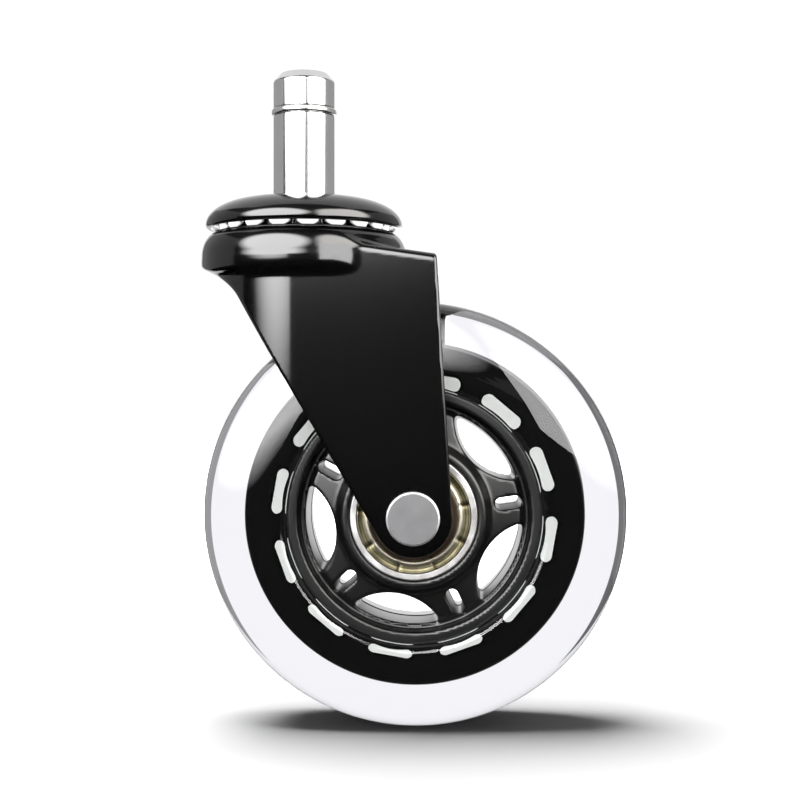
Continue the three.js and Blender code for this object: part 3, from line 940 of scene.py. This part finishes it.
LENS_COUNT, LENS_PHASE, LENS_OUTER, LENS_INNER, LENS_HALF = 5, 43.7, 19.1, 13.8, 8.0
WINDOW_COUNT, WINDOW_PHASE, WINDOW_R, WINDOW_LONG, WINDOW_WIDE = 5, 7.7, 16.6, 4.8, 2.2
ANCHOR_COUNT, ANCHOR_PHASE, ANCHOR_R, ANCHOR_LONG, ANCHOR_WIDE = 12, 20, 23.55, 8.1, 2.4
HUB_STEP = 0.456  # a little coarser than NET_STEP, which keeps the hub under 200,000 triangles
HUB_FACE = hub_high[1]
HUB_R = (hub_high[0] - hub_low[0]) / 2
RING_OUT, RING_FACE, FLANGE = 22.3, 9.8, 7.0
DRAFT = math.tan(math.radians(2.5))


def slot_distance(a, b, long, wide):
    """Distance to a round-ended slot that lies along a."""
    straight = (long - wide) / 2
    return np.hypot(np.maximum(np.abs(a) - straight, 0), b) - wide / 2


def sector(angle, radius, count, phase):
    """Where a point is within its own repeat of a pattern: outwards, and round the rim."""
    step = TAU / count
    turn = (angle - math.radians(phase) + step / 2) % step - step / 2
    return radius * np.cos(turn), radius * np.sin(turn)


def hub_field():
    bore, middle, stop = BEARING_R + 0.02, 9.5, BEARING_IN
    upper = [
        (middle, stop, 0.1),
        (bore, stop),
        (bore, HUB_FACE, 0.4),
        (12.3, HUB_FACE, 0.5),
        (13.6, HUB_FACE - 2.4, 0.9),
        (18.4, HUB_FACE - 3.1, 0.6),
        (19.3, HUB_FACE - 4.6, 0.4),
        (19.9, HUB_FACE - 4.6, 0.3),
        (20.3, RING_FACE, 0.35),
        (RING_OUT, RING_FACE, 0.4),
        (RING_OUT, FLANGE, 0.6),
        (HUB_R - 0.2, FLANGE, 0.9),
        (HUB_R, FLANGE - 1.6, 0.6),
    ]
    lower = [(r, -h, *rest) for r, h, *rest in reversed(upper)]
    profile = Outline(rounded(upper + lower, steps=8))
    rise = LENS_OUTER * math.cos(math.asin(LENS_HALF / LENS_OUTER)) - LENS_INNER
    bulge = (LENS_HALF**2 + rise**2) / (2 * rise)

    def field(p):
        x, y, z = p.T
        x, z = x - AXLE_X, z - AXLE_Z
        r, angle, depth = np.hypot(x, z), np.arctan2(z, x), np.abs(y)
        taper = (9 - depth) * DRAFT
        u, v = sector(angle, r, LENS_COUNT, LENS_PHASE)
        lens = soft_max(r - LENS_OUTER, np.hypot(u - LENS_INNER - bulge, v) - bulge, 1.2) + taper
        u, v = sector(angle, r, WINDOW_COUNT, WINDOW_PHASE)
        window = slot_distance(u - WINDOW_R, v, WINDOW_LONG, WINDOW_WIDE) + taper
        u, v = sector(angle, r, ANCHOR_COUNT, ANCHOR_PHASE)
        anchor = slot_distance(v, u - ANCHOR_R, ANCHOR_LONG, ANCHOR_WIDE)
        shape = profile(r, y)
        shape = soft_max(shape, -lens, 0.45)
        shape = soft_max(shape, -window, 0.35)
        return soft_max(shape, -anchor, 0.3)

    return field


def make_hub():
    points, faces, normals = surface_net(hub_field(), hub_low - 1, hub_high + 1, HUB_STEP)
    fit(new_piece("hub_moulded", points, faces, normals), "black_nylon", "wheel", "wheel_hub")


def make_anchor_fill():
    """Urethane in the hub's anchor slots, level with the flange's two faces."""
    straight, end = (ANCHOR_LONG - ANCHOR_WIDE) / 2, ANCHOR_WIDE / 2 - 0.02
    outline = arc(straight, 0, end, end, -90, 90, 10) + arc(-straight, 0, end, end, 90, 270, 10)
    parts = []
    for i in range(ANCHOR_COUNT):
        a = math.radians(ANCHOR_PHASE + 360 * i / ANCHOR_COUNT)
        cos_a, sin_a = math.cos(a), math.sin(a)
        points, count = [], len(outline)
        for face in (-FLANGE + 0.05, FLANGE - 0.05):
            for along, out in outline:
                radius = ANCHOR_R + out
                x = AXLE_X + radius * cos_a - along * sin_a
                z = AXLE_Z + radius * sin_a + along * cos_a
                points.append((x, face, z))
        faces = [tuple(range(count)), tuple(reversed(range(count, 2 * count)))]
        for k in range(count):
            j = (k + 1) % count
            faces.append((j, k, k + count, j + count))
        parts.append((np.array(points), faces, np.zeros((2 * count, 3))))
    points, faces, _ = joined(parts)
    piece = new_piece("anchor_slot_fill", points, faces)
    piece.data.polygons.foreach_set("use_smooth", [False] * len(piece.data.polygons))
    # the fill's finish glows with painted light, not light from the lamps
    fit(piece, "clear_urethane", "wheel", finish="urethane_painted_glow")


TYRE_WIDEST, TYRE_EDGE = 23.8, 35.1  # radii of the side's highest ring and of its rim
TYRE_DOME = 31.0  # radius that the side is domed to
TYRE_BREAK = 1.9  # how steeply the tread's shoulder starts below that rim


def make_tyre():
    """Cast over the hub's flange: gently domed sides, a rounded shoulder and a nearly flat tread."""
    inner = RING_OUT - 0.05
    lean = math.degrees(math.asin((TYRE_EDGE - TYRE_WIDEST) / TYRE_DOME))
    lip = [(inner, RING_FACE - 0.1)]
    lip += bezier((inner + 0.1, RING_FACE), (inner + 0.2, TYRE_HALF), (TYRE_WIDEST, TYRE_HALF), 10)
    side = arc(TYRE_WIDEST, TYRE_HALF - TYRE_DOME, TYRE_DOME, TYRE_DOME, 90, 90 - lean, 16)
    edge = side[-1]
    tread = bezier(edge, (TYRE_R - 0.1, edge[1] - TYRE_BREAK), (TYRE_R - 0.1, 3.5), 18)
    crown = arc(TYRE_R - 30, 0, 30, 30, 8, 0, 4)
    upper = lip + side[1:] + tread[1:] + crown[1:]
    outline = upper + [(r, -h) for r, h in reversed(upper[:-1])]
    fit(turned_piece("tyre_cast", outline, "Y", 256), "clear_urethane", "wheel", "tyre")


# ---------------------------------------------------------------- everything, then the studio

make_stem()
make_grip_ring()
make_cap()
make_crown_race()
make_lower_cup()
make_balls("upper_ball", UPPER_COUNT, UPPER_PITCH, UPPER_BALL, UPPER_Z, UPPER_PHASE, "ball_painted_glow")
make_balls("lower_ball", LOWER_COUNT, LOWER_PITCH, LOWER_BALL, LOWER_Z, 0)
make_fork()
make_axle()
make_sleeve()
for side, word in ((-1, "left"), (1, "right")):
    make_spacer(side, word)
    make_rings(side, word)
    make_bearing_balls(side, word)
    for face in ("outside", "inside"):
        make_shield(side, word, face)
make_hub()
make_anchor_fill()
make_tyre()


def panel(name, width, height, z=0):
    """A flat rectangle about its own middle."""
    corners = [(x * width / 2, y * height / 2, z) for x, y in ((-1, -1), (1, -1), (1, 1), (-1, 1))]
    return new_piece(name, corners, [(0, 1, 2, 3)])


def make_floor():
    """Paper that is dark close in, where the light above is strong enough to turn it white all the same."""
    floor = panel("floor", 12000, 12000, FLOOR_Z)
    n = Nodes("floor_paper")
    tone = n.noise(4, detail=2)
    away = n.radius_about((AXLE_X, 0, 0), (1, 1, 0))
    near = n.blend(tone, grey(0.097), grey(0.106))
    far = n.blend(tone, grey(0.95), grey(0.97))
    n.set(Base_Color=n.blend(n.ramp(away, 0, 1, 100 * MM, 900 * MM), near, far))
    n.set(Roughness=0.8, Specular_IOR_Level=0.0)
    floor.data.materials.append(n.material)
    floor.visible_glossy = False
    floor.visible_transmission = False


def aim(thing, place, target):
    thing.location = Vector(place) * MM
    thing.rotation_mode = "QUATERNION"
    direction = Vector(target) * MM - thing.location
    thing.rotation_quaternion = direction.to_track_quat("-Z", "Y")


def around(azimuth, elevation, distance, centre):
    """A place at an azimuth from -Y towards +X and an elevation, in degrees, round a centre."""
    a, e = math.radians(azimuth), math.radians(elevation)
    return [
        centre[0] + distance * math.sin(a) * math.cos(e),
        centre[1] - distance * math.cos(a) * math.cos(e),
        centre[2] + distance * math.sin(e),
    ]


def softbox(name, azimuth, elevation, distance, width, height, radiance):
    """A soft light facing the caster, left out of reflections: the glows below are what those show."""
    lamp = bpy.data.lights.new(name, "AREA")
    lamp.shape = "RECTANGLE"
    lamp.size, lamp.size_y = width * MM, height * MM
    lamp.energy = radiance * math.pi * lamp.size * lamp.size_y
    holder = bpy.data.objects.new(name, lamp)
    bpy.context.scene.collection.objects.link(holder)
    aim(holder, around(azimuth, elevation, distance, STUDIO_MIDDLE), STUDIO_MIDDLE)
    holder.visible_camera = False
    holder.visible_glossy = False
    holder.visible_transmission = False


def only_reflected(piece, reflections=True, through_glass=False):
    """Hides a stage piece from everything but reflections, or but clear material."""
    piece.visible_camera = False
    piece.visible_diffuse = False
    piece.visible_shadow = False
    piece.visible_glossy = reflections
    piece.visible_transmission = through_glass


def card(name, place, target, width, height, tone, reflections=True, through_glass=False):
    """A plain card that only reflections see, or that clear material shows bent round the caster."""
    piece = panel(name, width, height)
    n = Nodes(name + "_tone")
    shade = n.noise(3)
    n.set(Base_Color=grey(0), Roughness=1.0, Specular_IOR_Level=0.0, Emission_Strength=1.0)
    n.set(Emission_Color=n.blend(shade, grey(tone * 0.95), grey(tone * 1.05)))
    piece.data.materials.append(n.material)
    aim(piece, place, target)
    only_reflected(piece, reflections, through_glass)


STUDIO_MIDDLE = (12, 0, -35)
GLOW_DISTANCE = 900  # millimetres from the studio's middle to the glowing panels


def glow(name, azimuth, elevation, wide, high, radiance, fade, squareness=2.0, tint=(1, 1, 1)):
    """A rounded softbox as reflections show it: a curved panel, bright in an oval that fades at its rim.

    azimuth and elevation are its middle and wide and high its half sizes, all in degrees about the studio's
    middle; fade is a share of the half sizes, and squareness above 2 fills out the oval's corners.
    """
    columns, rows = 40, 28
    reach = 1 + fade
    points = []
    for j in range(rows + 1):
        for i in range(columns + 1):
            across = azimuth + wide * reach * (2 * i / columns - 1)
            up = elevation + high * reach * (2 * j / rows - 1)
            points.append(around(across, up, GLOW_DISTANCE, STUDIO_MIDDLE))
    step = columns + 1
    faces = [
        (j * step + i, j * step + i + 1, (j + 1) * step + i + 1, (j + 1) * step + i)
        for j in range(rows)
        for i in range(columns)
        if abs(2 * i / columns - 1) ** squareness + abs(2 * j / rows - 1) ** squareness < 1.1
    ]
    piece = new_piece(name, points, faces)
    n = Nodes(name + "_light")
    total = 0.0
    for angle, middle, half in zip(n.bearings(STUDIO_MIDDLE), (azimuth, elevation), (wide, high)):
        offset = n.math("SUBTRACT", n.math("DEGREES", angle), float(middle))
        share = n.math("ABSOLUTE", n.math("DIVIDE", offset, float(half)))
        total = n.math("ADD", n.math("POWER", share, squareness), total)
    distance = n.math("POWER", total, 1 / squareness)
    bright = n.ramp(distance, radiance, 0, 1 - fade, 1 + fade)
    shade = n.noise(2)
    n.set(Base_Color=grey(0), Roughness=1.0, Specular_IOR_Level=0.0)
    n.set(Emission_Color=n.blend(shade, grey(0.97, tint), grey(1.0, tint)), Emission_Strength=bright)
    piece.data.materials.append(n.material)
    only_reflected(piece)


def make_studio():
    world = bpy.data.worlds.new("studio")
    bpy.context.scene.world = world
    world.use_nodes = True
    world.cycles_visibility.glossy = False
    backdrop = world.node_tree.nodes["Background"]
    backdrop.inputs["Color"].default_value = (1, 1, 1, 1)
    backdrop.inputs["Strength"].default_value = 1.05
    make_floor()
    softbox("softbox_above", -120, 77, 800, 600, 600, 88.0)
    glow("glow_left", -31, 29, 40, 27, 12.5, fade=0.15)
    glow("glow_right", 53, 28, 33, 25, 9.5, fade=0.15, squareness=3.0, tint=(1.0, 0.975, 0.94))
    for name, azimuth, elevation, distance, width, height, tone in (
        ("left_card", -112, 8, 1000, 1350, 1100, 0.4),
        ("right_card", 112, 8, 1000, 1350, 1100, 0.4),
        ("back_card", 180, 8, 1000, 1100, 1100, 1.0),
        ("top_card", 180, 62, 900, 1500, 1100, 0.9),
        ("stem_card", 9.5, 11.5, 1000, 250, 110, 0.3),  # the grey line down the stem
        ("leg_flag", 0, 2, 800, 380, 180, 0.02),  # keeps the flat of the leg black
    ):
        place = around(azimuth, elevation, distance, STUDIO_MIDDLE)
        card(name, place, STUDIO_MIDDLE, width, height, tone)
    card("near_right_card", (120, -212, 24), (120, 0, 24), 74, 100, 8.6)  # the pale patch on the flange
    card("wheel_card", (AXLE_X, 160, AXLE_Z), (AXLE_X, 0, AXLE_Z), 110, 110, 2.2)
    # three cards round a hole, which the tyre bends into its grey rim
    frame_x, frame_y, frame_z, hole = 13, 300, -80, 105
    for name, x, z, width, height, tone in (
        ("bent_left", frame_x - hole - 700, frame_z + hole - 500, 1400, 1000, 0.17),
        ("bent_right", frame_x + hole + 700, frame_z + hole - 500, 1400, 1000, 0.35),
        ("bent_below", frame_x, frame_z - hole - 350, 2 * hole, 700, 0.27),
    ):
        place = (x, frame_y, z)
        card(name, place, (x, 0, z), width, height, tone, reflections=False, through_glass=True)


def make_camera():
    """The photograph's view: level, a little to the right of the wheel's own plane, at mid height."""
    yaw, distance = math.radians(1.9), 262.0
    look = (17.27, 0.0, -35.15)
    camera = bpy.data.cameras.new("camera")
    camera.sensor_width = 36
    camera.lens = 65.475
    camera.shift_y = -0.00625
    camera.clip_start, camera.clip_end = 0.01, 20
    holder = bpy.data.objects.new("camera", camera)
    bpy.context.scene.collection.objects.link(holder)
    place = (look[0] + distance * math.sin(yaw), -distance * math.cos(yaw), look[2])
    aim(holder, place, look)
    bpy.context.scene.camera = holder


make_studio()
make_camera()
bpy.context.scene.view_settings.view_transform = "Standard"
